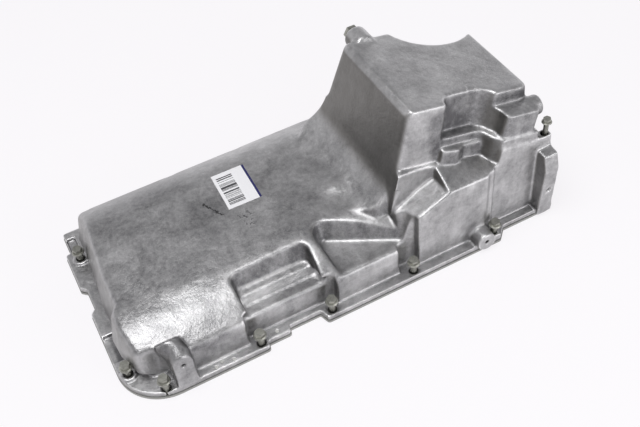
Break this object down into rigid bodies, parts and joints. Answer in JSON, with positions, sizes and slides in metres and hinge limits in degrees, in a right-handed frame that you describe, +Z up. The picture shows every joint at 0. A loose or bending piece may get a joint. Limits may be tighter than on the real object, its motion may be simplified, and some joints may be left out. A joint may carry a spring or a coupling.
{
  "type": "engine oil pan",
  "caption": "Cast aluminium engine oil pan with a deep rear sump, starter pockets, filter seat, rail gasket and loose flange bolts, lying on its rail.",
  "frame": {"origin": "centre of the pan's plan at the lower face of its rail seal, on the table", "axes": "+X towards the bell housing end, +Z up as it lies on its rail (down in the car), the starter side at -Y"},
  "size_m": [0.5466, 0.2915, 0.2091],
  "materials": {
    "cast_aluminium": "as cast, matt and slightly grainy",
    "carrier_steel": "coated sheet",
    "seal_rubber": "moulded",
    "rivet_plastic": "moulded",
    "zinc_steel": "zinc plated, slightly olive",
    "label_paper": "paper",
    "machined_aluminium": "machined",
    "sheet_steel": "bare sheet"
  },
  "bodies": {
    "root": {"pan_casting": "cast_aluminium", "gasket_carrier": "carrier_steel", "gasket_bead": "seal_rubber", "gasket_rivets": "rivet_plastic", "rail_bolts": "zinc_steel", "rear_bolts": "zinc_steel", "label": "label_paper", "filter_fitting": "zinc_steel", "gallery_gasket": "seal_rubber", "gallery_cover": "machined_aluminium", "gallery_bolts": "zinc_steel", "gallery_plug": "sheet_steel", "drain_seal": "seal_rubber", "drain_plug": "zinc_steel", "baffle": "sheet_steel", "baffle_bolts": "zinc_steel"}
  },
  "joints": []
}
